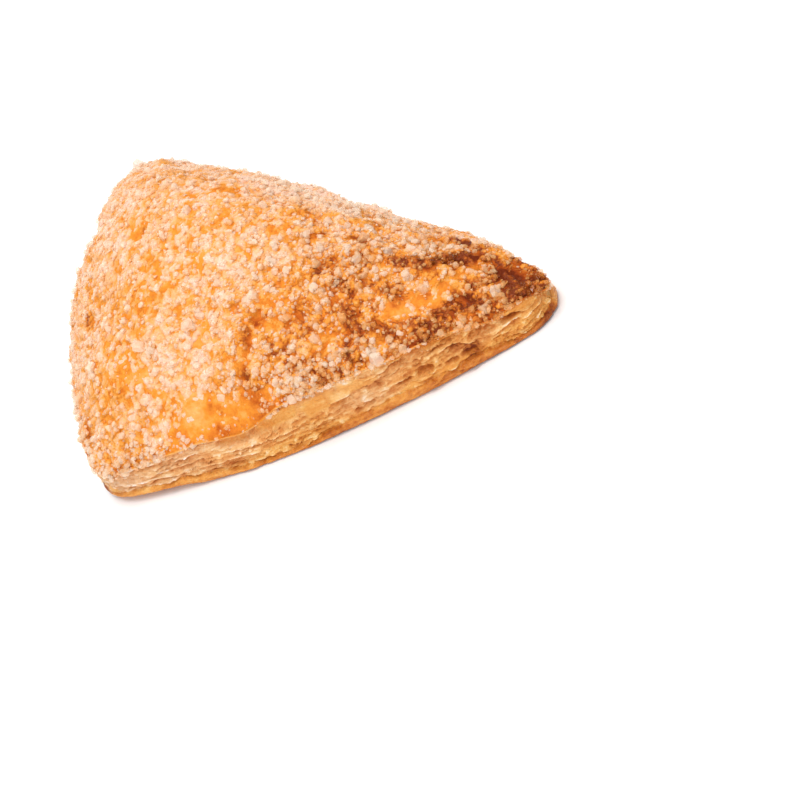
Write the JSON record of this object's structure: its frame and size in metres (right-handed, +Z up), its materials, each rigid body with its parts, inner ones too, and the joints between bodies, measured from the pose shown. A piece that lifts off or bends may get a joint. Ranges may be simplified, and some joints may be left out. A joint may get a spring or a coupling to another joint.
{
  "type": "turnover pastry",
  "caption": "Triangular puff pastry turnover with a domed sugared crust, layered cut edges on two sides and a rounded fold along the third.",
  "frame": {"origin": "middle of the footprint, on the surface that the pastry rests on", "axes": "+X along the fold, +Y from the square corner towards the fold, +Z up"},
  "size_m": [0.1476, 0.0788, 0.0343],
  "materials": {
    "crust": "golden baked crust, glossy where the wash is bare",
    "layers": "pale dry leaves of baked dough",
    "sugar": "coarse clear sugar crystals"
  },
  "bodies": {
    "root": {"turnover": "crust"}
  },
  "joints": []
}
